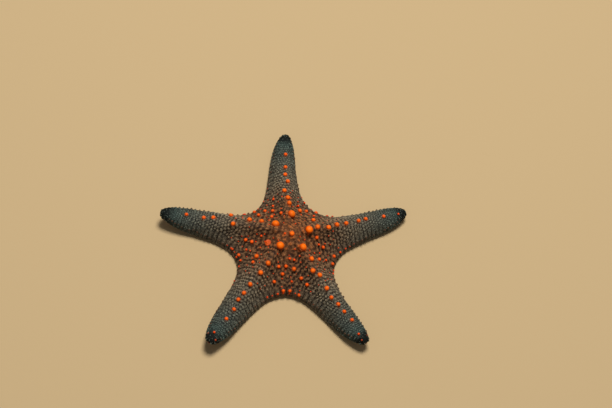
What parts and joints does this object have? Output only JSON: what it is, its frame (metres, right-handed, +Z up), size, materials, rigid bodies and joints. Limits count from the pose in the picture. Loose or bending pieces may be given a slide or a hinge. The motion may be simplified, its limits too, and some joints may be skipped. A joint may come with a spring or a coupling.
{
  "type": "sea star",
  "caption": "Life-size knobbed cushion sea star, still, lying on its flat underside with a domed disc and tapering arms whose tips curl up.",
  "frame": {"origin": "on the floor, under the middle of the star's outline box", "axes": "+Z up; +Y along the first arm, which points a little left of it; +X to the right of that arm, seen from above, where the second arm reaches"},
  "size_m": [0.1947, 0.1849, 0.0337],
  "materials": {
    "skin": "matte wet skin over a net of limy plates, red-brown on the disc, grey-brown on the arms and blue-green to black at the tips",
    "knob": "smooth orange knobs, satin",
    "granule": "fine matte limy granules, pale grey-beige",
    "sieve_plate": "matte grooved plate, orange-brown",
    "eye": "moist dark red bead",
    "jaw": "matte limy plate, pale orange-brown",
    "spine": "matte blunt limy spines, pale orange to cream",
    "tube_foot": "moist translucent-looking feet, pale orange, with paler suckers"
  },
  "bodies": {
    "root": {"disc": "skin", "arm_1": "skin", "arm_2": "skin", "arm_3": "skin", "arm_4": "skin", "arm_5": "skin", "arm_1_tip": "skin", "arm_2_tip": "skin", "arm_3_tip": "skin", "arm_4_tip": "skin", "arm_5_tip": "skin", "eye_1": "eye", "eye_2": "eye", "eye_3": "eye", "eye_4": "eye", "eye_5": "eye", "jaw_1": "jaw", "jaw_2": "jaw", "jaw_3": "jaw", "jaw_4": "jaw", "jaw_5": "jaw", "sieve_plate": "sieve_plate"}
  },
  "joints": []
}
